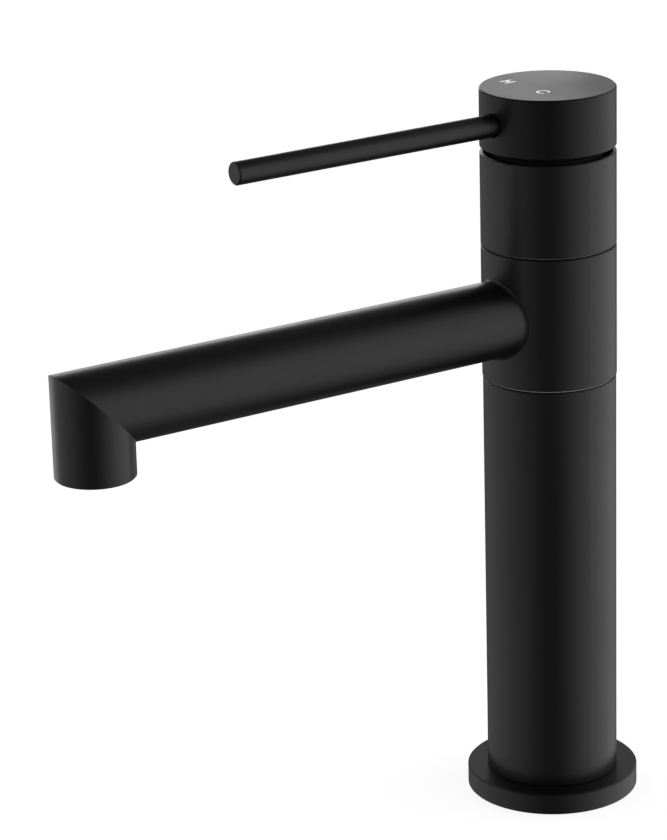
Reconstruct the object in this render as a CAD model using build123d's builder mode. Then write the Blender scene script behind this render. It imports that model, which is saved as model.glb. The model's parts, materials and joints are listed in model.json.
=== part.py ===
"""Single-lever bathroom mixer faucet with a swivel spout, as separate pieces in millimetres.

The deck is the XY plane. The spout and the lever point to -Y, hot is on -X and cold on +X.
"""

import os
from math import asin, cos, degrees, radians, sin, sqrt, tan

from build123d import *

os.makedirs("parts", exist_ok=True)

# Body, built outwards from the cartridge that it holds.
CARTRIDGE_DIAMETER = 26.0
NECK_WALL = 2.9
COLLAR_WALL = 5.17
HEAD_WALL = 3.7
HEAD_RIM = 1.0
HEAD_REBATE = 5.0
SPIGOT_STEP = 1.0
HEAD_STEP = 0.2
COLUMN_WALL = 3.0
FLANGE_OVERHANG = 6.5

# Heights, from the deck to the top of the handle.
FLANGE_HEIGHT = 6.8
COLUMN_TOP = 139.85
JOINT_GAP = 0.55
COLLAR_MARGIN = 8.9
HEAD_HEIGHT = 29.25
HANDLE_GAP = 1.8
CAP_HEIGHT = 18.5

# Spout.
SPOUT_DIAMETER = 24.3
SPOUT_WALL = 2.0
SPOUT_REACH = 164.4
SPOUT_DROP = 20.7
SWIVEL_LIMIT = 60.0
CHAMBER_MARGIN = 1.15
CHAMBER_LAND = 1.0
CHAMBER_SHARE = 0.25
SADDLE_SHARE = 0.48
NECK_SEAL_HEIGHT = 3.0
NECK_SEAL_DEPTH = 2.0
NECK_SEAL_LAND = 2.0
SLIP_RING_INSET = 0.6
STOP_DEPTH = 3.0
STOP_REACH = 2.8
STOP_ROOM = 0.3
STOP_FLOOR = 0.5

# Aerator in the outlet.
AERATOR_INSET = 0.6
AERATOR_HEIGHT = 6.0
AERATOR_STEP = 0.45
AERATOR_WALL = 1.7
AERATOR_LIP_WIDTH = 0.9
AERATOR_LIP_HEIGHT = 1.0
AERATOR_SEAL_HEIGHT = 1.5
AERATOR_SEAL_LAP = 0.6
NOTCHES = 12
NOTCH_WIDTH = 2.6
NOTCH_LENGTH = 2.0
NOTCH_DEPTH = 0.9
CELL = 1.25
CELL_WALL = 0.4
CELL_ROWS = 11
CELL_MARGIN = 1.4
HONEYCOMB_HEIGHT = 2.6
FLOW_HOLES = 12
FLOW_HOLE_DIAMETER = 1.6
FLOW_HOLE_INSET = 2.2

# Lever and handle cap.
LEVER_DIAMETER = 7.1
LEVER_REACH = 113.6
LEVER_RISE = 9.0
LEVER_STUD_DIAMETER = 5.8
LEVER_STUD_LENGTH = 4.0
LEVER_RELIEF = 0.3
LEVER_RELIEF_DEPTH = 0.9
LEVER_LAND = 0.75
LEVER_SEAT_SHARE = 0.57
GRUB_KEY_RADIUS = 1.5
GRUB_KEY_DEPTH = 2.0
SOCKET_ROOM = 0.5
SKIRT_WALL = 1.3
CAP_ROOF = 3.7
LIFT_LIMIT = 18.0
TURN_LIMIT = 50.0

# Inlets and deck fixing.
HOSE_PORT_DIAMETER = 9.0
HOSE_PORT_DEPTH = 10.0
INLET_BLOCK_HEIGHT = 16.0
INLET_RIM_HEIGHT = 2.5
INLET_RIM_WIDTH = 2.5
STUD_HOLE_DIAMETER = 5.0
STUD_HOLE_DEPTH = 12.0
STUD_OFFSET = 12.5
RISER_DIAMETER = 10.0
RISER_WALL = 1.0
RISER_SEAL = 1.0
RISER_GROOVE_HEIGHT = 1.2
SPIGOT_WALL = 0.95
SPIGOT_LENGTH = 14.0
SPIGOT_SOCKET = 8.0
GASKET_WIDTH = 3.0
GASKET_HEIGHT = 2.0
GASKET_INSET = 2.0

# Cartridge.
FLOOR_LAND = 0.5
DISC_THICKNESS = 3.0
BASE_THICKNESS = 3.0
PORT_CIRCLE = 6.4
PORT_ANGLE = 45.0
PORT_LAND = 0.4
INLET_PORT = 3.8
OUTLET_PORT = 4.8
PORT_SEAL = 0.75
PORT_SEAL_HEIGHT = 1.0
POOL_LAND = 0.5
POOL_DEPTH = 1.8
HOUSING_WALL = 1.2
HOUSING_ROOF = 2.0
SHOULDER_RISE = 14.0
SHOULDER_WIDTH = 2.5
SHOULDER_HEIGHT = 3.0
PIVOT_RISE = 20.0
BALL_ARM = 8.8
BALL_DIAMETER = 4.0
BALL_ROOM = 0.15
BALL_NECK_DIAMETER = 2.6
BAR_WIDTH = 5.0
BAR_DEPTH = 6.5
BAR_RISE = 1.5
SQUARE = 8.0
SQUARE_TAIL = 5.0
PIN_DIAMETER = 2.96
SLIDER_RISE = 1.2
SLIDER_INSET = 0.5
PEG_DIAMETER = 1.8
PEG_INSET = 2.2
PEG_LENGTH = 0.9
PEG_HOLE_DEPTH = 1.0
ROTOR_GAP = 0.6
ROTOR_WALL = 1.9
ROTOR_STEP = 1.7
ROTOR_RISE = 7.0
ROTOR_NECK_RISE = 3.5
ROTOR_SLOT_BEND = 0.6
LUG_WIDTH = 3.0
LUG_HEIGHT = 3.0
LUG_DEPTH = 1.2
LUG_RISE = 2.0
LUG_ROOT = 0.5
LUG_ROOM = 0.2
NUT_HEIGHT = 7.0
NUT_SLOTS = 6
NUT_SLOT_WIDTH = 3.0
NUT_SLOT_DEPTH = 2.5
COVER_RISE = 0.6
COVER_WALL = 1.4
COVER_LAP = 1.0

# Clearances and edge breaks.
FIT = 0.05
RUN = 0.03
EDGE = 0.4
HEAD_EDGE = 0.3
OVERCUT = 1.0

# Radii that follow from the walls.
cartridge_radius = CARTRIDGE_DIAMETER / 2
seat_radius = cartridge_radius + 2 * FIT
neck_radius = seat_radius + NECK_WALL
spigot_radius = neck_radius - SPIGOT_STEP
collar_bore = neck_radius + RUN
head_radius = collar_bore + COLLAR_WALL
cup_radius = head_radius - HEAD_WALL
column_radius = head_radius - HEAD_STEP
column_bore = column_radius - COLUMN_WALL
block_radius = column_bore - FIT
rim_radius = block_radius + INLET_RIM_WIDTH
flange_radius = column_radius + FLANGE_OVERHANG
spout_radius = SPOUT_DIAMETER / 2
spout_bore = spout_radius - SPOUT_WALL
riser_radius = RISER_DIAMETER / 2
riser_hole = riser_radius + FIT
riser_groove = riser_hole + RISER_SEAL
riser_offset = spigot_radius - SPIGOT_WALL - riser_groove
lever_radius = LEVER_DIAMETER / 2
stud_radius = LEVER_STUD_DIAMETER / 2
pin_radius = PIN_DIAMETER / 2
ball_radius = BALL_DIAMETER / 2
peg_radius = PEG_DIAMETER / 2

# Heights that follow from the sizes above.
collar_height = SPOUT_DIAMETER + 2 * COLLAR_MARGIN
collar_z = COLUMN_TOP + JOINT_GAP + FIT
collar_top = collar_z + collar_height
head_z = collar_top + FIT + JOINT_GAP
head_top = head_z + HEAD_HEIGHT
cap_z = head_top + HANDLE_GAP
cap_top = cap_z + CAP_HEIGHT
lever_z = cap_z + LEVER_RISE
spout_z = collar_z + collar_height / 2
outlet_z = spout_z - SPOUT_DROP
spigot_z = COLUMN_TOP - SPIGOT_LENGTH
riser_top = spigot_z + SPIGOT_SOCKET

# Water chamber between neck and collar, a seal on each side of it, and the cartridge floor above.
chamber_half = spout_bore - CHAMBER_MARGIN
chamber_z = spout_z - chamber_half
chamber_radius = collar_bore + CHAMBER_SHARE * COLLAR_WALL
saddle_radius = collar_bore + SADDLE_SHARE * COLLAR_WALL
seal_half = NECK_SEAL_HEIGHT / 2
seal_offset = chamber_half + NECK_SEAL_LAND + seal_half
floor_z = spout_z + seal_offset + seal_half + FLOOR_LAND
disc_z = floor_z + BASE_THICKNESS
moving_z = disc_z + DISC_THICKNESS
slider_z = moving_z + DISC_THICKNESS
pivot_z = floor_z + PIVOT_RISE
ball_z = pivot_z - BALL_ARM
slider_top = ball_z + SLIDER_RISE
rotor_z = slider_top + ROTOR_GAP
rotor_top = pivot_z + ROTOR_RISE
rotor_neck_top = rotor_top + ROTOR_NECK_RISE
shoulder_z = floor_z + SHOULDER_RISE
shoulder_top = shoulder_z + SHOULDER_HEIGHT
housing_top = rotor_top + HOUSING_ROOF
nut_top = shoulder_top + NUT_HEIGHT
stop_z = collar_top - STOP_DEPTH
cavity_height = LEVER_RISE - lever_radius - LEVER_LAND
ceiling_z = cap_z + cavity_height
socket_top = cap_top - CAP_ROOF

disc_bore = cartridge_radius - HOUSING_WALL
rotor_bore = cartridge_radius - ROTOR_WALL
rotor_radius = rotor_bore - 2 * FIT
rotor_neck = rotor_radius - ROTOR_STEP
moving_radius = PORT_CIRCLE + INLET_PORT / 2 + PORT_LAND
inlet_x = PORT_CIRCLE * sin(radians(PORT_ANGLE))
inlet_y = -PORT_CIRCLE * cos(radians(PORT_ANGLE))
lift = radians(LIFT_LIMIT)


def turned(*outline, mode=Mode.ADD):
    """Turns an outline of (radius, height) points about the vertical axis."""
    with BuildSketch(Plane.XZ) as profile:
        with BuildLine():
            Polyline(*outline, close=True)
        make_face()
    revolve(profile.sketch, axis=Axis.Z, mode=mode)


def ring(inner, outer, bottom, top, mode=Mode.ADD):
    """Adds or removes a plain ring about the vertical axis."""
    turned((inner, bottom), (outer, bottom), (outer, top), (inner, top), mode=mode)


def drilled(x, y, radius, bottom, top):
    """Removes an upright hole."""
    with Locations((x, y, bottom)):
        Cylinder(radius, top - bottom, align=(Align.CENTER, Align.CENTER, Align.MIN), mode=Mode.SUBTRACT)


def grooved(x, level):
    """Removes the groove of a riser seal."""
    drilled(x, 0, riser_groove, level - RISER_GROOVE_HEIGHT / 2, level + RISER_GROOVE_HEIGHT / 2)


def facing_back(height):
    """A level plane whose own X points to the back, so that angles on it count from +Y."""
    return Plane(origin=(0, 0, height), x_dir=(0, 1, 0), z_dir=(0, 0, 1))


def written(piece, name):
    """Labels a finished piece and writes its STEP file."""
    piece.part.label = name
    export_step(piece.part, f"parts/{name}.step")


# Base flange: the disc on the deck, with a seat for the inlet block's rim and a gasket groove below.
gasket_inner = rim_radius + GASKET_INSET
gasket_outer = gasket_inner + GASKET_WIDTH
with BuildPart() as base_flange:
    turned(
        (block_radius + 2 * FIT, INLET_RIM_HEIGHT),
        (rim_radius + FIT, INLET_RIM_HEIGHT),
        (rim_radius + FIT, 0),
        (flange_radius - EDGE / 2, 0),
        (flange_radius, EDGE / 2),
        (flange_radius, FLANGE_HEIGHT - EDGE),
        (flange_radius - EDGE, FLANGE_HEIGHT),
        (block_radius + 2 * FIT, FLANGE_HEIGHT),
    )
    ring(gasket_inner, gasket_outer, 0, GASKET_HEIGHT, mode=Mode.SUBTRACT)
written(base_flange, "base_flange")

with BuildPart() as base_gasket:
    ring(gasket_inner + FIT, gasket_outer - FIT, 0, GASKET_HEIGHT)
written(base_gasket, "base_gasket")

# Inlet block: plugs the foot of the column, takes the two hoses and the two deck studs.
riser_z = HOSE_PORT_DEPTH
block_seal_z = (riser_z + INLET_BLOCK_HEIGHT) / 2
spigot_seal_z = (spigot_z + riser_top) / 2
with BuildPart() as inlet_block:
    turned(
        (0, 0),
        (rim_radius, 0),
        (rim_radius, INLET_RIM_HEIGHT),
        (block_radius, INLET_RIM_HEIGHT),
        (block_radius, INLET_BLOCK_HEIGHT),
        (0, INLET_BLOCK_HEIGHT),
    )
    for side in (-1, 1):
        drilled(side * riser_offset, 0, HOSE_PORT_DIAMETER / 2, 0, riser_z)
        drilled(side * riser_offset, 0, riser_hole, riser_z, INLET_BLOCK_HEIGHT)
        grooved(side * riser_offset, block_seal_z)
        drilled(0, side * STUD_OFFSET, STUD_HOLE_DIAMETER / 2, 0, STUD_HOLE_DEPTH)
written(inlet_block, "inlet_block")

# Riser tubes: carry hot and cold water up the column to the valve body.
with BuildPart() as hot_riser_tube:
    with BuildSketch(Plane.XY.offset(riser_z)):
        with Locations((-riser_offset, 0)):
            Circle(riser_radius)
            Circle(riser_radius - RISER_WALL, mode=Mode.SUBTRACT)
    extrude(amount=riser_top - riser_z)
written(hot_riser_tube, "hot_riser_tube")

with BuildPart() as cold_riser_tube:
    with BuildSketch(Plane.XY.offset(riser_z)):
        with Locations((riser_offset, 0)):
            Circle(riser_radius)
            Circle(riser_radius - RISER_WALL, mode=Mode.SUBTRACT)
    extrude(amount=riser_top - riser_z)
written(cold_riser_tube, "cold_riser_tube")

seal_places = [
    (side * riser_offset, 0, height) for side in (-1, 1) for height in (block_seal_z, spigot_seal_z)
]
with BuildPart() as riser_seals:
    with Locations(*seal_places):
        Torus(riser_radius + FIT / 2 + RISER_SEAL / 2, RISER_SEAL / 2)
written(riser_seals, "riser_seals")

# Column tube: stands on the flange, thick at the top where the valve body screws in.
with BuildPart() as column_tube:
    turned(
        (column_bore, FLANGE_HEIGHT),
        (column_radius - EDGE / 2, FLANGE_HEIGHT),
        (column_radius, FLANGE_HEIGHT + EDGE / 2),
        (column_radius, COLUMN_TOP - EDGE / 2),
        (column_radius - EDGE / 2, COLUMN_TOP),
        (spigot_radius + FIT, COLUMN_TOP),
        (spigot_radius + FIT, spigot_z),
        (column_bore, spigot_z),
    )
written(column_tube, "column_tube")

# Valve body: spigot in the column, neck through the swivel collar, head around the cartridge, and a rebate
# inside the head's rim that keeps the gap under the handle dark.
with BuildPart() as valve_body:
    turned(
        (0, spigot_z),
        (spigot_radius, spigot_z),
        (spigot_radius, COLUMN_TOP),
        (neck_radius, COLUMN_TOP),
        (neck_radius, head_z),
        (head_radius - EDGE / 2, head_z),
        (head_radius, head_z + EDGE / 2),
        (head_radius, head_top - HEAD_EDGE),
        (head_radius - HEAD_EDGE, head_top),
        (head_radius - HEAD_RIM, head_top),
        (head_radius - HEAD_RIM, head_top - HEAD_REBATE),
        (cup_radius, head_top - HEAD_REBATE),
        (cup_radius, shoulder_z),
        (seat_radius, shoulder_z),
        (seat_radius, floor_z),
        (0, floor_z),
    )
    groove_floor = neck_radius - NECK_SEAL_DEPTH
    for level in (spout_z - seal_offset, spout_z + seal_offset):
        ring(groove_floor, neck_radius + OVERCUT, level - seal_half, level + seal_half, mode=Mode.SUBTRACT)
    for side in (-1, 1):
        drilled(side * riser_offset, 0, riser_hole, spigot_z, riser_top)
        grooved(side * riser_offset, spigot_seal_z)
        foot = Vector(side * riser_offset, 0, riser_top - 2 * OVERCUT)
        way = Vector(side * inlet_x, inlet_y, floor_z) - foot
        with BuildSketch(Plane(origin=foot, z_dir=way)):
            Circle(INLET_PORT / 2)
        extrude(amount=way.length + OVERCUT, mode=Mode.SUBTRACT)
    drilled(0, 0, OUTLET_PORT / 2, spout_z - OUTLET_PORT / 2, floor_z)
    with BuildSketch(Plane.XZ):
        with Locations((0, spout_z)):
            Circle(OUTLET_PORT / 2)
    extrude(amount=-(neck_radius + OVERCUT), mode=Mode.SUBTRACT)
    with BuildSketch(Plane.XZ):
        with Locations((0, stop_z)):
            Circle(pin_radius + RUN)
    extrude(amount=-(neck_radius + OVERCUT), mode=Mode.SUBTRACT)
written(valve_body, "valve_body")

# Slip rings: thin washers in the two joint lines of the swivel collar.
slip_inner = neck_radius + 2 * FIT
slip_outer = head_radius - SLIP_RING_INSET
with BuildPart() as lower_slip_ring:
    ring(slip_inner, slip_outer, COLUMN_TOP, COLUMN_TOP + JOINT_GAP)
written(lower_slip_ring, "lower_slip_ring")

with BuildPart() as upper_slip_ring:
    ring(slip_inner, slip_outer, head_z - JOINT_GAP, head_z)
written(upper_slip_ring, "upper_slip_ring")

with BuildPart() as neck_seals:
    for level in (spout_z - seal_offset, spout_z + seal_offset):
        ring(groove_floor + FIT, neck_radius, level - seal_half + FIT, level + seal_half - FIT)
written(neck_seals, "neck_seals")

# Stop pin: sits in the back of the neck and runs in the collar's slot.
with BuildPart() as swivel_stop_pin:
    with BuildSketch(Plane.XZ.offset(-(seat_radius + 4 * FIT))):
        with Locations((0, stop_z)):
            Circle(pin_radius)
    extrude(amount=-(collar_bore + STOP_REACH - seat_radius - 4 * FIT))
written(swivel_stop_pin, "swivel_stop_pin")

# Cartridge: base with port seals, two ceramic discs, housing, nut and cover.
ports = ((-inlet_x, inlet_y, INLET_PORT / 2), (inlet_x, inlet_y, INLET_PORT / 2), (0, 0, OUTLET_PORT / 2))
with BuildPart() as cartridge_base:
    ring(0, cartridge_radius, floor_z, disc_z)
    for x, y, radius in ports:
        drilled(x, y, radius, floor_z, disc_z)
        drilled(x, y, radius + PORT_SEAL + 2 * FIT, floor_z, floor_z + PORT_SEAL_HEIGHT)
written(cartridge_base, "cartridge_base")

with BuildPart() as cartridge_port_seals:
    with BuildSketch(Plane.XY.offset(floor_z)):
        for x, y, radius in ports:
            with Locations((x, y)):
                Circle(radius + PORT_SEAL + FIT)
                Circle(radius + FIT, mode=Mode.SUBTRACT)
    extrude(amount=PORT_SEAL_HEIGHT)
written(cartridge_port_seals, "cartridge_port_seals")

with BuildPart() as fixed_disc:
    ring(0, disc_bore - 4 * FIT, disc_z, moving_z)
    for x, y, radius in ports:
        drilled(x, y, radius, disc_z, moving_z)
written(fixed_disc, "fixed_disc")

lug_inner = rotor_radius - LUG_DEPTH
lug_outer = rotor_bore + LUG_ROOT
lug_z = rotor_z + LUG_RISE
with BuildPart() as cartridge_housing:
    turned(
        (disc_bore, disc_z),
        (cartridge_radius, disc_z),
        (cartridge_radius, shoulder_z),
        (cartridge_radius + SHOULDER_WIDTH, shoulder_z),
        (cartridge_radius + SHOULDER_WIDTH, shoulder_top),
        (cartridge_radius, shoulder_top),
        (cartridge_radius, housing_top),
        (rotor_neck + 2 * FIT, housing_top),
        (rotor_neck + 2 * FIT, rotor_top + 2 * FIT),
        (rotor_bore, rotor_top + 2 * FIT),
        (rotor_bore, rotor_z - LUG_ROOT),
        (disc_bore, rotor_z - LUG_ROOT),
    )
    with Locations((0, (lug_inner + lug_outer) / 2, lug_z)):
        Box(LUG_WIDTH, lug_outer - lug_inner, LUG_HEIGHT)
written(cartridge_housing, "cartridge_housing")

with BuildPart() as retaining_nut:
    ring(cartridge_radius + 2 * FIT, cup_radius - FIT, shoulder_top, nut_top)
    with BuildSketch(Plane.XY.offset(nut_top)):
        with PolarLocations((cartridge_radius + cup_radius) / 2, NUT_SLOTS):
            Rectangle(cup_radius, NUT_SLOT_WIDTH)
    extrude(amount=-NUT_SLOT_DEPTH, mode=Mode.SUBTRACT)
written(retaining_nut, "retaining_nut")

cover_top = head_top + COVER_RISE
cover_radius = cup_radius - 2 * FIT
cover_inner = cartridge_radius - COVER_LAP
roof_z = cover_top - EDGE - COVER_WALL
with BuildPart() as cartridge_cover:
    turned(
        (cover_radius - COVER_WALL, nut_top),
        (cover_radius, nut_top),
        (cover_radius, cover_top - EDGE),
        (cover_radius - EDGE, cover_top),
        (cover_radius - 2 * COVER_WALL, cover_top),
        (cover_inner, cover_top - EDGE),
        (cover_inner, roof_z),
        (cover_radius - 2 * COVER_WALL, roof_z),
        (cover_radius - COVER_WALL, roof_z - COVER_WALL),
    )
written(cartridge_cover, "cartridge_cover")

# Swivel collar: turns on the neck, with the spout's saddle seat, a water chamber and the stop slot.
slot_half = SWIVEL_LIMIT + degrees(asin((pin_radius + FIT) / collar_bore))
slot_z = stop_z - pin_radius - STOP_FLOOR
with BuildPart() as spout_collar:
    turned(
        (saddle_radius, collar_z),
        (head_radius - EDGE / 2, collar_z),
        (head_radius, collar_z + EDGE / 2),
        (head_radius, collar_top - EDGE / 2),
        (head_radius - EDGE / 2, collar_top),
        (saddle_radius, collar_top),
    )
    with BuildSketch(Plane.XZ):
        with Locations((0, spout_z)):
            Circle(spout_radius + FIT / 2)
    extrude(amount=head_radius + OVERCUT, mode=Mode.SUBTRACT)
    ring(collar_bore, saddle_radius, collar_z, collar_top)
    ring(collar_bore - OVERCUT, chamber_radius, chamber_z, chamber_z + 2 * chamber_half, mode=Mode.SUBTRACT)
    with BuildSketch(Plane.XZ):
        with Locations((0, spout_z)):
            Circle(chamber_half - CHAMBER_LAND)
    extrude(amount=head_radius + OVERCUT, mode=Mode.SUBTRACT)
    with BuildSketch(facing_back(slot_z)):
        with BuildLine():
            inner_arc = CenterArc((0, 0), collar_bore - OVERCUT, -slot_half, 2 * slot_half)
            outer_arc = CenterArc((0, 0), collar_bore + STOP_REACH + STOP_ROOM, -slot_half, 2 * slot_half)
            Line(inner_arc @ 0, outer_arc @ 0)
            Line(inner_arc @ 1, outer_arc @ 1)
        make_face()
    extrude(amount=collar_top - slot_z, mode=Mode.SUBTRACT)
written(spout_collar, "spout_collar")

# Spout: a straight tube brazed to the collar on a saddle cut, and an outlet leg on a 45 degree mitre.
mitre = Plane(origin=(0, -SPOUT_REACH, spout_z), z_dir=(0, 1, 1))
with BuildPart() as spout_tube:
    with BuildSketch(Plane.XZ):
        with Locations((0, spout_z)):
            Circle(spout_radius)
            Circle(spout_bore, mode=Mode.SUBTRACT)
    extrude(amount=SPOUT_REACH + spout_radius)
    ring(0, saddle_radius + FIT / 2, collar_z, collar_top, mode=Mode.SUBTRACT)
    split(bisect_by=mitre, keep=Keep.TOP)
written(spout_tube, "spout_tube")

aerator_z = outlet_z + AERATOR_INSET
aerator_top = aerator_z + AERATOR_HEIGHT
aerator_radius = spout_bore + AERATOR_STEP
seat_z = aerator_top + AERATOR_SEAL_HEIGHT
with BuildPart() as spout_outlet:
    with BuildSketch(Plane.XY.offset(outlet_z)):
        with Locations((0, -SPOUT_REACH)):
            Circle(spout_radius)
            Circle(spout_bore, mode=Mode.SUBTRACT)
    extrude(amount=SPOUT_DROP + spout_radius)
    with BuildSketch(Plane.XY.offset(outlet_z)):
        with Locations((0, -SPOUT_REACH)):
            Circle(aerator_radius + FIT)
    extrude(amount=seat_z - outlet_z, mode=Mode.SUBTRACT)
    split(bisect_by=mitre, keep=Keep.BOTTOM)
    rim = spout_outlet.edges().filter_by(GeomType.CIRCLE).group_by(Axis.Z)[0]
    chamfer(rim.sort_by(SortBy.RADIUS)[-1], EDGE)
written(spout_outlet, "spout_outlet")

# Aerator: recessed in the outlet leg, with key notches, a honeycomb, a flow disc and a seal.
core_radius = aerator_radius - AERATOR_WALL
honeycomb_z = aerator_z + AERATOR_LIP_HEIGHT
flow_z = honeycomb_z + HONEYCOMB_HEIGHT
with BuildPart() as aerator_housing:
    with BuildSketch(Plane.XY.offset(aerator_z)):
        with Locations((0, -SPOUT_REACH)):
            Circle(aerator_radius)
            Circle(core_radius - AERATOR_LIP_WIDTH, mode=Mode.SUBTRACT)
    extrude(amount=AERATOR_HEIGHT)
    with BuildSketch(Plane.XY.offset(honeycomb_z)):
        with Locations((0, -SPOUT_REACH)):
            Circle(core_radius)
    extrude(amount=AERATOR_HEIGHT, mode=Mode.SUBTRACT)
    with BuildSketch(Plane.XY.offset(aerator_z)):
        with Locations((0, -SPOUT_REACH)):
            with PolarLocations(aerator_radius, NOTCHES):
                Rectangle(NOTCH_WIDTH, NOTCH_LENGTH)
    extrude(amount=NOTCH_DEPTH, mode=Mode.SUBTRACT)
written(aerator_housing, "aerator_housing")

grid = HexLocations(CELL, CELL_ROWS, CELL_ROWS).local_locations
cells = [spot for spot in grid if spot.position.length < core_radius - CELL_MARGIN]
with BuildPart() as aerator_honeycomb:
    with BuildSketch(Plane.XY.offset(honeycomb_z)):
        with Locations((0, -SPOUT_REACH)):
            Circle(core_radius - FIT)
            with Locations(*cells):
                RegularPolygon(CELL - CELL_WALL / 2, 6, major_radius=False, rotation=30, mode=Mode.SUBTRACT)
    extrude(amount=flow_z - honeycomb_z)
written(aerator_honeycomb, "aerator_honeycomb")

with BuildPart() as aerator_flow_disc:
    with BuildSketch(Plane.XY.offset(flow_z)):
        with Locations((0, -SPOUT_REACH)):
            Circle(core_radius - FIT)
            with PolarLocations(core_radius - FLOW_HOLE_INSET, FLOW_HOLES):
                Circle(FLOW_HOLE_DIAMETER / 2, mode=Mode.SUBTRACT)
    extrude(amount=aerator_top - flow_z)
written(aerator_flow_disc, "aerator_flow_disc")

with BuildPart() as aerator_seal:
    with BuildSketch(Plane.XY.offset(aerator_top)):
        with Locations((0, -SPOUT_REACH)):
            Circle(aerator_radius)
            Circle(core_radius - AERATOR_SEAL_LAP, mode=Mode.SUBTRACT)
    extrude(amount=AERATOR_SEAL_HEIGHT)
written(aerator_seal, "aerator_seal")

# Rotor: turns in the housing between the lug's ends, with a slot that lets the spindle tip back.
half_depth = BAR_DEPTH / 2
lean = half_depth / cos(lift) + FIT
low = (pivot_z - rotor_z) * tan(lift)
high = (rotor_neck_top - pivot_z) * tan(lift)
pocket_half = TURN_LIMIT + degrees(asin((LUG_WIDTH / 2 + FIT) / lug_inner))
with BuildPart() as spindle_rotor:
    turned(
        (0, rotor_z),
        (rotor_radius, rotor_z),
        (rotor_radius, rotor_top),
        (rotor_neck, rotor_top),
        (rotor_neck, rotor_neck_top),
        (0, rotor_neck_top),
    )
    with BuildSketch(Plane.YZ):
        with BuildLine():
            Polyline(
                (-half_depth - FIT, rotor_neck_top),
                (-half_depth - FIT, pivot_z + ROTOR_SLOT_BEND),
                (-lean, pivot_z),
                (-lean - low, rotor_z),
                (half_depth + FIT, rotor_z),
                (half_depth + FIT, pivot_z - ROTOR_SLOT_BEND),
                (lean, pivot_z),
                (lean + high, rotor_neck_top),
                close=True,
            )
        make_face()
    extrude(amount=BAR_WIDTH / 2 + FIT, both=True, mode=Mode.SUBTRACT)
    with BuildSketch(Plane.YZ):
        with Locations((0, pivot_z)):
            Circle(pin_radius + RUN / 2)
    extrude(amount=rotor_radius + OVERCUT, both=True, mode=Mode.SUBTRACT)
    with BuildSketch(facing_back(rotor_z)):
        with BuildLine():
            near_arc = CenterArc((0, 0), lug_inner - 2 * FIT, -pocket_half, 2 * pocket_half)
            far_arc = CenterArc((0, 0), rotor_radius + OVERCUT, -pocket_half, 2 * pocket_half)
            Line(near_arc @ 0, far_arc @ 0)
            Line(near_arc @ 1, far_arc @ 1)
        make_face()
    extrude(amount=LUG_RISE + LUG_HEIGHT / 2 + LUG_ROOM, mode=Mode.SUBTRACT)
written(spindle_rotor, "spindle_rotor")

pin_half = sqrt(rotor_radius**2 - pin_radius**2) - 2 * FIT
with BuildPart() as spindle_pivot_pin:
    with BuildSketch(Plane.YZ):
        with Locations((0, pivot_z)):
            Circle(pin_radius)
    extrude(amount=pin_half, both=True)
written(spindle_pivot_pin, "spindle_pivot_pin")

# Handle: cap over the head, lever rod screwed into it, grub screw against the spindle's square.
stud_hole = stud_radius + FIT
lever_seat = LEVER_SEAT_SHARE * head_radius
with BuildPart() as handle_cap:
    turned(
        (0, ceiling_z),
        (head_radius - SKIRT_WALL, ceiling_z),
        (head_radius - SKIRT_WALL, cap_z),
        (head_radius - HEAD_EDGE, cap_z),
        (head_radius, cap_z + HEAD_EDGE),
        (head_radius, cap_top - EDGE),
        (head_radius - EDGE, cap_top),
        (0, cap_top),
    )
    with BuildSketch(Plane.XY.offset(ceiling_z)):
        Rectangle(SQUARE + 2 * FIT, SQUARE + 2 * FIT)
    extrude(amount=socket_top - ceiling_z, mode=Mode.SUBTRACT)
    with BuildSketch(Plane.XZ):
        with Locations((0, lever_z)):
            Circle(stud_hole)
    extrude(amount=head_radius, mode=Mode.SUBTRACT)
    with BuildSketch(Plane.XZ.offset(lever_seat)):
        with Locations((0, lever_z)):
            Circle(lever_radius + FIT)
    extrude(amount=head_radius, mode=Mode.SUBTRACT)
    with BuildSketch(Plane.XZ.offset(head_radius - LEVER_RELIEF_DEPTH)):
        with Locations((0, lever_z)):
            Circle(lever_radius + LEVER_RELIEF)
    extrude(amount=head_radius, mode=Mode.SUBTRACT)
written(handle_cap, "handle_cap")

stud_end = lever_seat - LEVER_STUD_LENGTH
with BuildPart() as lever_rod:
    with BuildSketch(Plane.XZ.offset(stud_end)):
        with Locations((0, lever_z)):
            Circle(stud_radius)
    extrude(amount=lever_seat - stud_end)
    with BuildSketch(Plane.XZ.offset(lever_seat)):
        with Locations((0, lever_z)):
            Circle(lever_radius)
    extrude(amount=LEVER_REACH - lever_seat)
    tip = lever_rod.edges().filter_by(GeomType.CIRCLE).sort_by(Axis.Y)[0]
    chamfer(tip, EDGE)
written(lever_rod, "lever_rod")

grub_end = SQUARE / 2 + FIT
with BuildPart() as handle_grub_screw:
    with BuildSketch(Plane.XZ.offset(grub_end)):
        with Locations((0, lever_z)):
            Circle(stud_radius)
    extrude(amount=stud_end - FIT - grub_end)
    with BuildSketch(Plane.XZ.offset(stud_end - FIT)):
        with Locations((0, lever_z)):
            RegularPolygon(GRUB_KEY_RADIUS, 6, major_radius=False)
    extrude(amount=-GRUB_KEY_DEPTH, mode=Mode.SUBTRACT)
written(handle_grub_screw, "handle_grub_screw")

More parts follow.
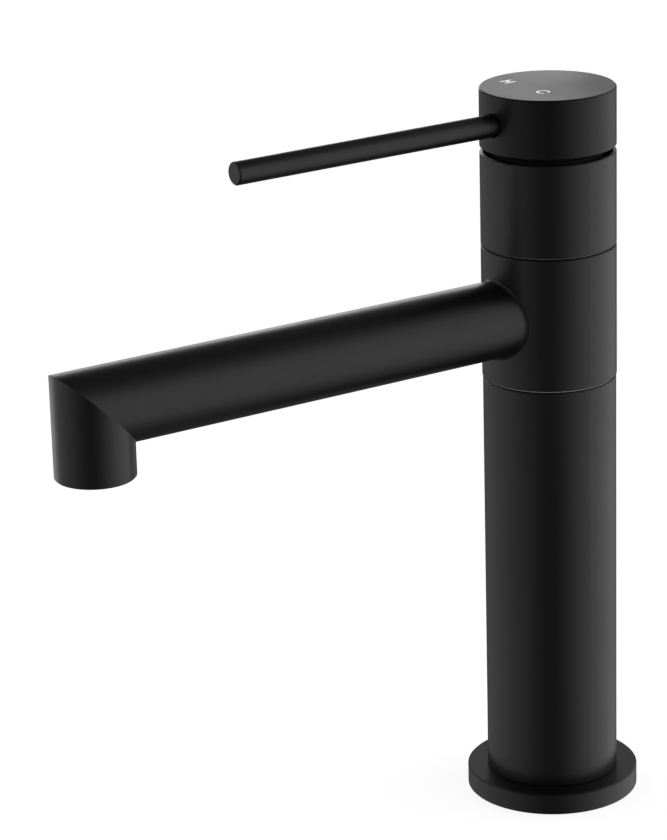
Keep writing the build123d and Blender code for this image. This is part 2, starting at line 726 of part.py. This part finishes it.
bar_z = rotor_z + BAR_RISE
square_z = ceiling_z - SQUARE_TAIL
with BuildPart() as spindle:
    with BuildSketch(Plane.XY.offset(bar_z)):
        Rectangle(BAR_WIDTH, BAR_DEPTH)
    extrude(amount=square_z - bar_z)
    with BuildSketch(Plane.XY.offset(square_z)):
        Rectangle(SQUARE, SQUARE)
    extrude(amount=socket_top - SOCKET_ROOM - square_z)
    with BuildSketch(Plane.XY.offset(ball_z)):
        Circle(BALL_NECK_DIAMETER / 2)
    extrude(amount=bar_z - ball_z)
    with Locations((0, 0, ball_z)):
        Sphere(ball_radius)
    with BuildSketch(Plane.YZ):
        with Locations((0, pivot_z)):
            Circle(pin_radius + FIT)
    extrude(amount=BAR_WIDTH, both=True, mode=Mode.SUBTRACT)
written(spindle, "spindle")

# Slider and moving disc: pushed along the fixed disc by the spindle's ball.
peg_offset = moving_radius - PEG_INSET
with BuildPart() as disc_slider:
    ring(0, moving_radius - SLIDER_INSET, slider_z, slider_top)
    drilled(0, 0, ball_radius + BALL_ROOM, slider_z, slider_top)
    with BuildSketch(Plane.XY.offset(slider_z)):
        with Locations((-peg_offset, 0), (peg_offset, 0)):
            Circle(peg_radius)
    extrude(amount=-PEG_LENGTH)
written(disc_slider, "disc_slider")

pool_radius = PORT_CIRCLE - INLET_PORT / 2 - POOL_LAND
with BuildPart() as moving_disc:
    ring(0, moving_radius, moving_z, slider_z)
    drilled(0, 0, pool_radius, moving_z, moving_z + POOL_DEPTH)
    with BuildSketch(Plane.XY.offset(slider_z)):
        with Locations((-peg_offset, 0), (peg_offset, 0)):
            Circle(peg_radius + FIT)
    extrude(amount=-PEG_HOLE_DEPTH, mode=Mode.SUBTRACT)
written(moving_disc, "moving_disc")
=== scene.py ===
"""Looks of the black single-lever mixer faucet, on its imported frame. Lengths are in metres."""

import json
from math import cos, pi, radians, sin, sqrt

import bmesh
import bpy
from mathutils import Matrix, Vector


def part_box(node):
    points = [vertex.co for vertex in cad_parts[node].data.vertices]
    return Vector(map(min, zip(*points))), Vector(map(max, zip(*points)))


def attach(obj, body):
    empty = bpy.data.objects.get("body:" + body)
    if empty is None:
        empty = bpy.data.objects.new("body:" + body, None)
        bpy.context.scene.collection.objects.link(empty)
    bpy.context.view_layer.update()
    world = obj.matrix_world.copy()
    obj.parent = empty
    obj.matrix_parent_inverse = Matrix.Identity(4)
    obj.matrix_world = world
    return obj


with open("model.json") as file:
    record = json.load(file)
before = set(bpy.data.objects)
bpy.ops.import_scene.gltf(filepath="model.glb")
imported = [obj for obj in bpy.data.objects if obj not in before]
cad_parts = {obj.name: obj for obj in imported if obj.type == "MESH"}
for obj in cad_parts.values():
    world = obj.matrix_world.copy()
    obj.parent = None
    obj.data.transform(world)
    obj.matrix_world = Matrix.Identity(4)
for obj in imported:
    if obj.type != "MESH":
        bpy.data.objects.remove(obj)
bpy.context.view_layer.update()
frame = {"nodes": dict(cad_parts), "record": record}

MM = 0.001
UP = Vector((0, 0, 1))

# Where the camera stands: round from the front of the spout, out from the column and above the deck.
CAMERA_AZIMUTH = radians(53.422)
CAMERA_DISTANCE = 1042.1 * MM
CAMERA_HEIGHT = 473.5 * MM

# How the camera is turned, and its lens.
CAMERA_YAW = radians(3.771)
CAMERA_PITCH = radians(18.463)
CAMERA_ROLL = radians(-1.599)
SENSOR_HEIGHT = 36.0
CAMERA_LENS = 148.34

# World: a dim room with broad soft light from both sides.
ROOM_LIGHT = 0.05
RIGHT_ANGLE = radians(97)
RIGHT_LIGHT = 1.2
LEFT_ANGLE = radians(-88)
LEFT_LIGHT = 0.6
SIDE_WRAP = 0.2
SIDE_FALLOFF = 2.0

# Towards the back the right side's light falls to a share, and towards up and down all of it does.
SPILL_FROM = 0.70
SPILL_TO = 0.95
SPILL_SHARE = 0.35
STEEP_FROM = 0.55
STEEP_TO = 0.90
STEEP_SHARE = 0.2

# White patch behind the object, for reflections alone.
BACKDROP_RISE = radians(4)
BACKDROP_CORE = radians(8)
BACKDROP_EDGE = radians(18)

# Soft strip behind the spout.
RIM_DISTANCE = 0.25
RIM_SHIFT = 0.113
RIM_WIDTH = 0.254
RIM_BOTTOM = 0.20
RIM_TOP = 0.285
RIM_LIGHT = 1.6

# Small lamp beside the outlet leg.
LEG_ANGLE = radians(-135)
LEG_DISTANCE = 0.12
LEG_WIDTH = 0.11
LEG_HEIGHT = 0.06
LEG_LEVEL = 0.114
LEG_SPREAD = radians(56)
LEG_LIGHT = 0.08

# Floor.
FLOOR_SIZE = 6.0
FLOOR_COLOUR = 0.7
FLOOR_GLOW = 0.84

# Sizes read from the frame.
flange_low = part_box("base_flange")[0]
collar_low, collar_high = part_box("spout_collar")
tube_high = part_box("spout_tube")[1]
cap_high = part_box("handle_cap")[1]
block_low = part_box("inlet_block")[0]
collar_radius = collar_high.x
spout_radius = tube_high.x
spout_z = (collar_low.z + collar_high.z) / 2
mounts = {mount["name"]: mount for mount in frame["record"]["mounts"]}

# Most of a noise lies between these two values.
NOISE_LOW = 0.3
NOISE_HIGH = 0.7

# Radians in a metre of a wave texture at scale 1.
WAVE_TURN = 20.0


class Finish:
    """A material's node tree, with short calls for the nodes that the finishes share."""

    def __init__(self, name, metallic=0.0):
        self.material = bpy.data.materials.new(name)
        self.material.use_nodes = True
        self.tree = self.material.node_tree
        self.shader = self.tree.nodes["Principled BSDF"]
        self.shader.inputs["Metallic"].default_value = metallic
        self.place = self.tree.nodes.new("ShaderNodeTexCoord").outputs["Object"]

    def noise(self, size, detail=2.0, stretch=(1, 1, 1)):
        """Noise with grains about size across, drawn out along an axis where stretch is over 1."""
        mapping = self.tree.nodes.new("ShaderNodeMapping")
        mapping.inputs["Scale"].default_value = [1 / factor for factor in stretch]
        self.tree.links.new(self.place, mapping.inputs["Vector"])
        texture = self.tree.nodes.new("ShaderNodeTexNoise")
        texture.inputs["Scale"].default_value = 1 / size
        texture.inputs["Detail"].default_value = detail
        self.tree.links.new(mapping.outputs["Vector"], texture.inputs["Vector"])
        return texture.outputs["Fac"]

    def rings(self, pitch, wander=1.5, detail=2.0):
        """Turning marks round the vertical axis, pitch apart."""
        texture = self.tree.nodes.new("ShaderNodeTexWave")
        texture.wave_type = "RINGS"
        texture.rings_direction = "Z"
        texture.inputs["Scale"].default_value = 2 * pi / (WAVE_TURN * pitch)
        texture.inputs["Distortion"].default_value = wander
        texture.inputs["Detail"].default_value = detail
        self.tree.links.new(self.place, texture.inputs["Vector"])
        return texture.outputs["Fac"]

    def step(self, height, blur):
        """0 below a height and 1 above it, with a short blur between."""
        apart = self.tree.nodes.new("ShaderNodeSeparateXYZ")
        self.tree.links.new(self.place, apart.inputs["Vector"])
        ramp = self.tree.nodes.new("ShaderNodeMapRange")
        ramp.inputs["From Min"].default_value = height - blur
        ramp.inputs["From Max"].default_value = height + blur
        self.tree.links.new(apart.outputs["Z"], ramp.inputs["Value"])
        return ramp.outputs["Result"]

    def spread(self, source, low, high):
        """Carries the middle of a noise's range to low and high."""
        ramp = self.tree.nodes.new("ShaderNodeMapRange")
        ramp.inputs["From Min"].default_value = NOISE_LOW
        ramp.inputs["From Max"].default_value = NOISE_HIGH
        ramp.inputs["To Min"].default_value = low
        ramp.inputs["To Max"].default_value = high
        self.tree.links.new(source, ramp.inputs["Value"])
        return ramp.outputs["Result"]

    def colour(self, source, dark, light):
        """Runs the base colour from dark to light with a noise or a step."""
        ramp = self.tree.nodes.new("ShaderNodeValToRGB")
        low, high = ramp.color_ramp.elements
        low.position, low.color = NOISE_LOW, (*dark, 1)
        high.position, high.color = NOISE_HIGH, (*light, 1)
        self.tree.links.new(source, ramp.inputs["Fac"])
        self.tree.links.new(ramp.outputs["Color"], self.shader.inputs["Base Color"])

    def roughness(self, source, low, high):
        """Runs the roughness from low to high with a noise."""
        self.tree.links.new(self.spread(source, low, high), self.shader.inputs["Roughness"])

    def relief(self, *layers):
        """Stacks bumps, each a noise and its height."""
        for source, height in layers:
            bump = self.tree.nodes.new("ShaderNodeBump")
            bump.inputs["Distance"].default_value = height
            self.tree.links.new(source, bump.inputs["Height"])
            normal = self.shader.inputs["Normal"]
            if normal.is_linked:
                self.tree.links.new(normal.links[0].from_socket, bump.inputs["Normal"])
            self.tree.links.new(bump.outputs["Normal"], normal)


def shaded(colour, factor):
    """A colour made darker or lighter."""
    return tuple(channel * factor for channel in colour)


# Matte black coating, a little duller on the cap.
COAT_GRAIN = 0.30 * MM
COAT_GRAIN_HEIGHT = 0.006 * MM
COAT_PEEL = 2.2 * MM
COAT_PEEL_HEIGHT = 0.004 * MM
COAT_HANDLING = 24 * MM
COAT_SHEEN = 0.5
CAP_SHEEN = 0.33


def black_coat(name, sheen):
    """Black coating with a fine grain, a faint orange peel and uneven gloss."""
    finish = Finish(name)
    finish.shader.inputs["Specular IOR Level"].default_value = sheen
    grain = finish.noise(COAT_GRAIN)
    peel = finish.noise(COAT_PEEL)
    handling = finish.noise(COAT_HANDLING, detail=4.0)
    finish.colour(grain, dark=(0.0055, 0.0055, 0.0057), light=(0.0085, 0.0085, 0.0088))
    finish.roughness(handling, low=0.31, high=0.37)
    finish.relief((peel, COAT_PEEL_HEIGHT), (grain, COAT_GRAIN_HEIGHT))
    return finish.material


# Machined brass.
TURNING_PITCH = 0.25 * MM
TURNING_HEIGHT = 0.006 * MM
TARNISH = 6 * MM


def machined_brass():
    """Brass with turning marks and patches of tarnish."""
    finish = Finish("machined_brass", metallic=1.0)
    marks = finish.rings(TURNING_PITCH)
    tarnish = finish.noise(TARNISH, detail=5.0)
    finish.colour(tarnish, dark=(0.58, 0.41, 0.18), light=(0.74, 0.55, 0.27))
    finish.roughness(tarnish, low=0.24, high=0.40)
    finish.relief((marks, TURNING_HEIGHT))
    return finish.material


# Drawn copper and ground steel.
COPPER = (0.72, 0.40, 0.26)
COPPER_ROUGHNESS = 0.34
STEEL = (0.55, 0.55, 0.56)
STEEL_ROUGHNESS = 0.30
STREAK = 0.25 * MM
STREAK_STRETCH = 40
STREAK_HEIGHT = 0.004 * MM
STREAK_SMOOTHER = 0.06
STREAK_ROUGHER = 0.08
STAIN = 9 * MM
STAIN_SHADE = 0.82


def drawn_metal(name, colour, roughness):
    """Bar or tube with fine streaks along its length."""
    finish = Finish(name, metallic=1.0)
    streaks = finish.noise(STREAK, stretch=(1, 1, STREAK_STRETCH))
    stain = finish.noise(STAIN, detail=4.0)
    finish.colour(stain, dark=shaded(colour, STAIN_SHADE), light=colour)
    finish.roughness(streaks, low=roughness - STREAK_SMOOTHER, high=roughness + STREAK_ROUGHER)
    finish.relief((streaks, STREAK_HEIGHT))
    return finish.material


# Plastics and rubber: colour, roughness, grain size and grain height of each.
NYLON_GRAIN = 0.30 * MM
NYLON_GRAIN_HEIGHT = 0.006 * MM
MOULDED = {
    "rubber": ((0.024, 0.024, 0.024), 0.62, 0.25 * MM, 0.010 * MM),
    "nylon": ((0.018, 0.018, 0.018), 0.50, NYLON_GRAIN, NYLON_GRAIN_HEIGHT),
    "cartridge_plastic": ((0.70, 0.69, 0.65), 0.45, 0.5 * MM, 0.006 * MM),
    "black_plastic": ((0.014, 0.014, 0.015), 0.42, 0.35 * MM, 0.008 * MM),
    "aerator_plastic": ((0.40, 0.41, 0.43), 0.35, 0.4 * MM, 0.005 * MM),
}
GRAIN_SPREAD = 0.06
FLOW = 12 * MM
FLOW_DARK = 0.86
FLOW_LIGHT = 1.1


def moulded(name, colour, roughness, grain_size, grain_height):
    """Plastic or rubber with the grain of its mould."""
    finish = Finish(name)
    grain = finish.noise(grain_size)
    flow = finish.noise(FLOW, detail=3.0)
    finish.colour(flow, dark=shaded(colour, FLOW_DARK), light=shaded(colour, FLOW_LIGHT))
    finish.roughness(grain, low=roughness - GRAIN_SPREAD, high=roughness + GRAIN_SPREAD)
    finish.relief((grain, grain_height))
    return finish.material


# Slip rings: a pale band on top painted as a highlight line, over near-black painted as the shadow line
# in the joint.
LOWER_PAINTED_HIGHLIGHT = 0.30 * MM
UPPER_PAINTED_HIGHLIGHT = 0.20 * MM
PAINTED_HIGHLIGHT_BLUR = 0.02 * MM


def nylon_painted_highlight_and_shadow(node, highlight_depth):
    """Slip ring in nylon, painted pale in a band on top as a highlight line and near-black below as the
    joint's shadow line.
    """
    finish = Finish(f"{node}_nylon")
    above = finish.step(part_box(node)[1].z - highlight_depth, PAINTED_HIGHLIGHT_BLUR)
    grain = finish.noise(NYLON_GRAIN)
    # Pale above the step is a painted highlight; near-black below it is painted shadow.
    finish.colour(above, dark=(0.003, 0.003, 0.003), light=(0.72, 0.72, 0.70))
    finish.roughness(grain, low=0.44, high=0.56)
    finish.relief((grain, NYLON_GRAIN_HEIGHT))
    return finish.material


# Lapped ceramic.
SPECK = 0.2 * MM
SPECK_HEIGHT = 0.001 * MM
CLOUD = 5 * MM


def lapped_ceramic():
    """Off-white ceramic, smooth with fine specks and faint clouds."""
    finish = Finish("lapped_ceramic")
    specks = finish.noise(SPECK, detail=3.0)
    cloud = finish.noise(CLOUD, detail=3.0)
    finish.colour(cloud, dark=(0.80, 0.79, 0.74), light=(0.90, 0.89, 0.86))
    finish.roughness(specks, low=0.10, high=0.20)
    finish.relief((specks, SPECK_HEIGHT))
    return finish.material


# Etched letters.
ETCH = 0.25 * MM
ETCH_HEIGHT = 0.001 * MM


def etched_mark():
    """Pale metal laid bare where the hot and cold letters are etched through the coating."""
    finish = Finish("etched_mark", metallic=1.0)
    etch = finish.noise(ETCH, detail=3.0)
    finish.colour(etch, dark=(0.82, 0.82, 0.81), light=(0.90, 0.90, 0.89))
    finish.roughness(etch, low=0.14, high=0.22)
    finish.relief((etch, ETCH_HEIGHT))
    return finish.material


# Finish of each slot, and of the three nodes that have one of their own.
FINISHES = {
    "black_finish": black_coat("black_coat", COAT_SHEEN),
    "brass": machined_brass(),
    "copper": drawn_metal("drawn_copper", COPPER, COPPER_ROUGHNESS),
    "steel": drawn_metal("ground_steel", STEEL, STEEL_ROUGHNESS),
    "ceramic": lapped_ceramic(),
    **{slot: moulded(slot, *look) for slot, look in MOULDED.items()},
}
OWN_FINISHES = {
    "handle_cap": black_coat("cap_coat", CAP_SHEEN),
    # Both slip rings carry a painted highlight line over painted shadow.
    "lower_slip_ring": nylon_painted_highlight_and_shadow("lower_slip_ring", LOWER_PAINTED_HIGHLIGHT),
    "upper_slip_ring": nylon_painted_highlight_and_shadow("upper_slip_ring", UPPER_PAINTED_HIGHLIGHT),
}


def dress_nodes():
    """Gives each piece of the frame its own finish, or else that of its slot."""
    for part in frame["record"]["subparts"]:
        mesh = frame["nodes"][part["node"]].data
        mesh.materials.clear()
        mesh.materials.append(OWN_FINISHES.get(part["node"], FINISHES[part["material_slot"]]))


def piece(name, mesh, material, body):
    """Puts a finished mesh in the scene, on the body that carries it."""
    mesh.materials.append(material)
    made = bpy.data.objects.new(name, mesh)
    bpy.context.scene.collection.objects.link(made)
    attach(made, body)


def skin(name, rows, closed_rows=False, closed_columns=False, smooth=True):
    """A mesh through rows of points, each row as long as the next."""
    work = bmesh.new()
    grid = [[work.verts.new(point) for point in row] for row in rows]
    count, width = len(grid), len(grid[0])
    for i in range(count if closed_rows else count - 1):
        for j in range(width if closed_columns else width - 1):
            this, following = grid[i], grid[(i + 1) % count]
            across = (j + 1) % width
            work.faces.new((this[j], this[across], following[across], following[j]))
    if closed_columns and not closed_rows:
        work.faces.new(reversed(grid[0]))
        work.faces.new(grid[-1])
    bmesh.ops.recalc_face_normals(work, faces=work.faces)
    for face in work.faces:
        face.smooth = smooth
    mesh = bpy.data.meshes.new(name)
    work.to_mesh(mesh)
    work.free()
    return mesh


# Hot and cold letters on top of the cap.
LETTER_HEIGHT = 4.2 * MM
LETTER_STROKE = 0.60 * MM
LETTER_RISE = 0.04 * MM
LETTER_ROW = -6.5 * MM
H_WIDTH = 3.2 * MM
C_GAP = radians(28)
C_STEPS = 36
HOT_X = -11.7 * MM
COLD_X = 6.5 * MM


def letter_h():
    """Outline of the letter for hot, about its middle."""
    wide, tall, stroke = H_WIDTH / 2, LETTER_HEIGHT / 2, LETTER_STROKE
    inner, bar = wide - stroke, stroke / 2
    half = [(wide, -tall), (wide, tall), (inner, tall), (inner, bar), (-inner, bar), (-inner, tall)]
    return half + [(-x, -y) for x, y in half]


def letter_c():
    """Outline of the letter for cold, about its middle."""
    outer = LETTER_HEIGHT / 2
    inner = outer - LETTER_STROKE
    turns = [C_GAP + 2 * (pi - C_GAP) * step / C_STEPS for step in range(C_STEPS + 1)]
    outside = [(outer * cos(turn), outer * sin(turn)) for turn in turns]
    inside = [(inner * cos(turn), inner * sin(turn)) for turn in reversed(turns)]
    return outside + inside


def add_marks():
    """Both letters as thin plates on the cap, a little into its top."""
    etching = etched_mark()
    bottom, top = cap_high.z - LETTER_RISE / 2, cap_high.z + LETTER_RISE
    for name, outline, x in (("hot_mark", letter_h(), HOT_X), ("cold_mark", letter_c(), COLD_X)):
        rows = [[(x + px, LETTER_ROW + py, height) for px, py in outline] for height in (bottom, top)]
        mesh = skin(name, rows, closed_columns=True, smooth=False)
        piece(name, mesh, etching, "handle")


# Fillet of filler along the saddle where the spout meets the collar, rooted a little inside both.
FILLET = 0.8 * MM
FILLET_ROOT = 0.1 * MM
FILLET_STEPS = 144
FILLET_ARC = 6


def saddle(turn, tube, wall):
    """A point where a tube of this radius along the spout runs into a round wall of this radius."""
    x, z = tube * cos(turn), tube * sin(turn)
    return Vector((x, -sqrt(wall * wall - x * x), spout_z + z))


def add_fillet():
    """A concave strip from the line FILLET out along the spout to the line FILLET round the collar."""
    rows = []
    for step in range(FILLET_STEPS):
        turn = 2 * pi * step / FILLET_STEPS
        root = saddle(turn, spout_radius - FILLET_ROOT, collar_radius - FILLET_ROOT)
        along = saddle(turn, spout_radius, collar_radius + FILLET)
        around = saddle(turn, spout_radius + FILLET, collar_radius)
        centre = saddle(turn, spout_radius + FILLET, collar_radius + FILLET)
        arc = []
        for part in range(FILLET_ARC + 1):
            swing = pi / 2 * part / FILLET_ARC
            arc.append(centre + (along - centre) * cos(swing) + (around - centre) * sin(swing))
        rows.append([root, *arc])
    mesh = skin("spout_fillet", rows, closed_rows=True, closed_columns=True)
    piece("spout_fillet", mesh, FINISHES["black_finish"], "spout")


# Threads of the hose ports and stud holes. Start, base and crest are shares of the pitch.
THREAD_DEPTH = 0.35 * MM
THREAD_ROOT = 0.05 * MM
THREAD_START = 0.6
THREAD_BASE = 0.45
THREAD_CREST = 0.08
THREAD_STEPS = 48
PORT_PITCH = 1.0 * MM
STUD_PITCH = 1.0 * MM
STUD_THREAD_LENGTH = 11.0 * MM


def add_thread(name, x, y, radius, depth, pitch):
    """A ridge that climbs the wall of a hole in the inlet block."""
    crest = radius - THREAD_DEPTH
    wall = radius + THREAD_ROOT
    sides = [(wall, -THREAD_BASE), (crest, -THREAD_CREST), (crest, THREAD_CREST), (wall, THREAD_BASE)]
    turns = int(depth / pitch) - 1
    rows = []
    for step in range(turns * THREAD_STEPS + 1):
        turn = 2 * pi * step / THREAD_STEPS
        height = block_low.z + THREAD_START * pitch + pitch * step / THREAD_STEPS
        out = Vector((cos(turn), sin(turn), 0))
        rows.append([Vector((x, y, height + pitch * lift)) + out * reach for reach, lift in sides])
    mesh = skin(name, rows, closed_columns=True)
    piece(name, mesh, FINISHES["brass"], "body")


def add_threads():
    """Threads in both hose ports and both stud holes, where the record's mounts have them."""
    for name in ("hot_inlet", "cold_inlet"):
        port = mounts[name]
        x, y = port["pos_m"][:2]
        radius, depth = port["dims"]["r_mm"] * MM, port["dims"]["length_mm"] * MM
        add_thread(f"{name}_thread", x, y, radius, depth, PORT_PITCH)
    studs = mounts["deck_studs"]["dims"]
    for name, side in (("front_stud_thread", -1), ("back_stud_thread", 1)):
        y = side * studs["spacing_y_mm"] * MM / 2
        add_thread(name, 0, y, studs["hole_r_mm"] * MM, STUD_THREAD_LENGTH, STUD_PITCH)


def camera_axes():
    """The camera's place, and its right, up and forward directions."""
    heading = CAMERA_AZIMUTH + CAMERA_YAW
    place = Vector((sin(CAMERA_AZIMUTH), -cos(CAMERA_AZIMUTH), 0)) * CAMERA_DISTANCE
    place.z = CAMERA_HEIGHT
    level = Vector((-sin(heading), cos(heading), 0))
    forward = level * cos(CAMERA_PITCH) - UP * sin(CAMERA_PITCH)
    right = forward.cross(UP).normalized()
    up = right.cross(forward)
    rolled_right = right * cos(CAMERA_ROLL) + up * sin(CAMERA_ROLL)
    rolled_up = up * cos(CAMERA_ROLL) - right * sin(CAMERA_ROLL)
    return place, rolled_right, rolled_up, forward


def add_camera():
    """The camera, with its lens measured against the picture's height."""
    place, right, up, forward = camera_axes()
    lens = bpy.data.cameras.new("camera")
    lens.sensor_fit = "VERTICAL"
    lens.sensor_height = SENSOR_HEIGHT
    lens.lens = CAMERA_LENS
    camera = bpy.data.objects.new("camera", lens)
    turn = Matrix((right, up, -forward)).transposed().to_4x4()
    camera.matrix_world = Matrix.Translation(place) @ turn
    bpy.context.scene.collection.objects.link(camera)
    bpy.context.scene.camera = camera


def studio_direction(angle):
    """A level direction, counted from the photographer's side round to the right."""
    toward = Vector((sin(CAMERA_AZIMUTH), -cos(CAMERA_AZIMUTH), 0))
    right = Vector((cos(CAMERA_AZIMUTH), sin(CAMERA_AZIMUTH), 0))
    return toward * cos(angle) + right * sin(angle)


class WorldNodes:
    """The world's node tree, with short calls for arithmetic and light."""

    def __init__(self):
        world = bpy.data.worlds.new("studio")
        world.use_nodes = True
        bpy.context.scene.world = world
        self.nodes, self.links = world.node_tree.nodes, world.node_tree.links
        self.background = self.nodes["Background"]
        self.direction = self.nodes.new("ShaderNodeTexCoord").outputs["Generated"]

    def math(self, operation, first, second):
        """Arithmetic on two values, each a number or another node's socket."""
        made = self.nodes.new("ShaderNodeMath")
        made.operation = operation
        for socket, value in zip(made.inputs, (first, second)):
            if isinstance(value, bpy.types.NodeSocket):
                self.links.new(value, socket)
            else:
                socket.default_value = value
        return made.outputs["Value"]

    def facing(self, toward):
        """How squarely a ray points in a direction, from 1 to -1."""
        made = self.nodes.new("ShaderNodeVectorMath")
        made.operation = "DOT_PRODUCT"
        self.links.new(self.direction, made.inputs[0])
        made.inputs[1].default_value = toward
        return made.outputs["Value"]

    def ramp(self, value, start, end, low, high):
        """Carries a value between start and end to low and high, and stops there."""
        made = self.nodes.new("ShaderNodeMapRange")
        for name, number in zip(("From Min", "From Max", "To Min", "To Max"), (start, end, low, high)):
            made.inputs[name].default_value = number
        self.links.new(value, made.inputs["Value"])
        return made.outputs["Result"]

    def side(self, angle, strength):
        """Broad light from one side, strongest where a ray points straight at it."""
        share = self.ramp(self.facing(studio_direction(angle)), -SIDE_WRAP, 1, 0, 1)
        return self.math("MULTIPLY", self.math("POWER", share, SIDE_FALLOFF), strength)


def light_world():
    """A dim room with two bright sides. The camera sees white, and reflections a white patch behind."""
    world = WorldNodes()
    back = studio_direction(pi)
    spill = world.ramp(world.facing(back), SPILL_FROM, SPILL_TO, 1, SPILL_SHARE)
    right = world.math("MULTIPLY", world.side(RIGHT_ANGLE, RIGHT_LIGHT), spill)
    left = world.side(LEFT_ANGLE, LEFT_LIGHT)
    room = world.math("ADD", left, world.math("ADD", right, ROOM_LIGHT))
    steep = world.math("ABSOLUTE", world.facing(UP), 0)
    room = world.math("MULTIPLY", room, world.ramp(steep, STEEP_FROM, STEEP_TO, 1, STEEP_SHARE))
    behind = back * cos(BACKDROP_RISE) + UP * sin(BACKDROP_RISE)
    backdrop = world.ramp(world.facing(behind), cos(BACKDROP_EDGE), cos(BACKDROP_CORE), 0, 1)
    path = world.nodes.new("ShaderNodeLightPath")
    mirrored = world.math("MULTIPLY", path.outputs["Is Glossy Ray"], backdrop)
    white = world.math("MAXIMUM", path.outputs["Is Camera Ray"], path.outputs["Is Transmission Ray"])
    white = world.math("MAXIMUM", white, mirrored)
    dim = world.math("MULTIPLY", room, world.math("SUBTRACT", 1, white))
    world.background.inputs["Color"].default_value = (1, 1, 1, 1)
    world.links.new(world.math("ADD", dim, white), world.background.inputs["Strength"])


def add_soft_light(name, place, aim, width, height, strength, spread):
    """A soft rectangle that shines along its aim, out of the camera's sight."""
    light = bpy.data.lights.new(name, "AREA")
    light.shape = "RECTANGLE"
    light.size = width
    light.size_y = height
    light.spread = spread
    light.energy = pi * width * height * strength
    lamp = bpy.data.objects.new(name, light)
    lamp.location = place
    lamp.rotation_euler = aim.to_track_quat("-Z", "Y").to_euler()
    lamp.visible_camera = False
    bpy.context.scene.collection.objects.link(lamp)


def add_lights():
    """The strip lights the tops of spout, lever and cap, and the small lamp the leg's front edge."""
    out = studio_direction(pi)
    place = out * RIM_DISTANCE + studio_direction(-pi / 2) * RIM_SHIFT
    place.z = (RIM_BOTTOM + RIM_TOP) / 2
    add_soft_light("rim_light", place, -out, RIM_WIDTH, RIM_TOP - RIM_BOTTOM, RIM_LIGHT, pi)
    leg_low, leg_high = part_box("spout_outlet")
    leg = (leg_low + leg_high) / 2
    place = leg + studio_direction(LEG_ANGLE) * LEG_DISTANCE
    place.z = LEG_LEVEL
    add_soft_light("leg_light", place, leg - place, LEG_WIDTH, LEG_HEIGHT, LEG_LIGHT, LEG_SPREAD)


def floor_paper():
    """Pale paper that shows the shadow. Light, reflections and views from below pass through it."""
    material = bpy.data.materials.new("floor")
    material.use_nodes = True
    nodes, links = material.node_tree.nodes, material.node_tree.links
    nodes.remove(nodes["Principled BSDF"])
    path = nodes.new("ShaderNodeLightPath")
    paper = nodes.new("ShaderNodeBsdfDiffuse")
    paper.inputs["Color"].default_value = (FLOOR_COLOUR, FLOOR_COLOUR, FLOOR_COLOUR, 1)
    glow = nodes.new("ShaderNodeEmission")
    strength = nodes.new("ShaderNodeMath")
    strength.operation = "MULTIPLY"
    strength.inputs[1].default_value = FLOOR_GLOW
    links.new(path.outputs["Is Camera Ray"], strength.inputs[0])
    links.new(strength.outputs["Value"], glow.inputs["Strength"])
    lit = nodes.new("ShaderNodeAddShader")
    links.new(paper.outputs["BSDF"], lit.inputs[0])
    links.new(glow.outputs["Emission"], lit.inputs[1])
    passing = nodes.new("ShaderNodeNewGeometry").outputs["Backfacing"]
    for kind in ("Is Shadow Ray", "Is Glossy Ray", "Is Transmission Ray"):
        either = nodes.new("ShaderNodeMath")
        either.operation = "MAXIMUM"
        links.new(passing, either.inputs[0])
        links.new(path.outputs[kind], either.inputs[1])
        passing = either.outputs["Value"]
    choice = nodes.new("ShaderNodeMixShader")
    links.new(passing, choice.inputs["Fac"])
    links.new(lit.outputs["Shader"], choice.inputs[1])
    links.new(nodes.new("ShaderNodeBsdfTransparent").outputs["BSDF"], choice.inputs[2])
    links.new(choice.outputs["Shader"], nodes["Material Output"].inputs["Surface"])
    return material


def add_floor():
    """The floor under the flange."""
    half = FLOOR_SIZE / 2
    level = flange_low.z
    corners = [(-half, -half, level), (half, -half, level), (half, half, level), (-half, half, level)]
    mesh = bpy.data.meshes.new("floor")
    mesh.from_pydata(corners, [], [(0, 1, 2, 3)])
    mesh.materials.append(floor_paper())
    floor = bpy.data.objects.new("floor", mesh)
    bpy.context.scene.collection.objects.link(floor)


dress_nodes()
add_marks()
add_fillet()
add_threads()
add_camera()
light_world()
add_lights()
add_floor()
bpy.context.scene.view_settings.view_transform = "Standard"
